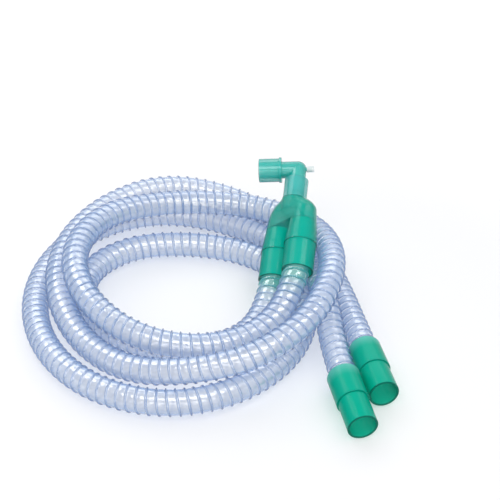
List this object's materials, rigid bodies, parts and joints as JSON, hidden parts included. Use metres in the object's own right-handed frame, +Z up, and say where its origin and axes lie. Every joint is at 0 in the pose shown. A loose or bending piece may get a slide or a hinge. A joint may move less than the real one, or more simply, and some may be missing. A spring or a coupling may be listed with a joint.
{
  "type": "breathing circuit",
  "caption": "Disposable two-limb breathing circuit: ribbed clear hoses coiled loosely, a forked junction with a right-angle patient elbow, and push-on end connectors.",
  "frame": {"origin": "on the table, under the middle of the box round the rigid pieces (junction, elbow, cuffs and end connectors), hoses left out", "axes": "+Z up from the table; +Y runs away from the viewer, from the end connectors in front to the elbow behind; +X to the viewer's right"},
  "size_m": [0.3269, 0.3282, 0.0938],
  "materials": {
    "green_plastic": "translucent green moulded plastic, smooth",
    "hose_plastic": "clear bluish hose wall with deeper blue spiral rib, glossy",
    "cap_plastic": "clear colourless moulded plastic"
  },
  "bodies": {
    "root": {"junction_body": "green_plastic", "neck_sleeve": "green_plastic", "elbow": "green_plastic", "patient_port": "green_plastic", "sampling_cap": "cap_plastic", "upper_leg_cuff": "green_plastic", "lower_leg_cuff": "green_plastic", "upper_hose": "hose_plastic", "lower_hose": "hose_plastic", "front_machine_connector": "green_plastic", "rear_machine_connector": "green_plastic"}
  },
  "joints": []
}
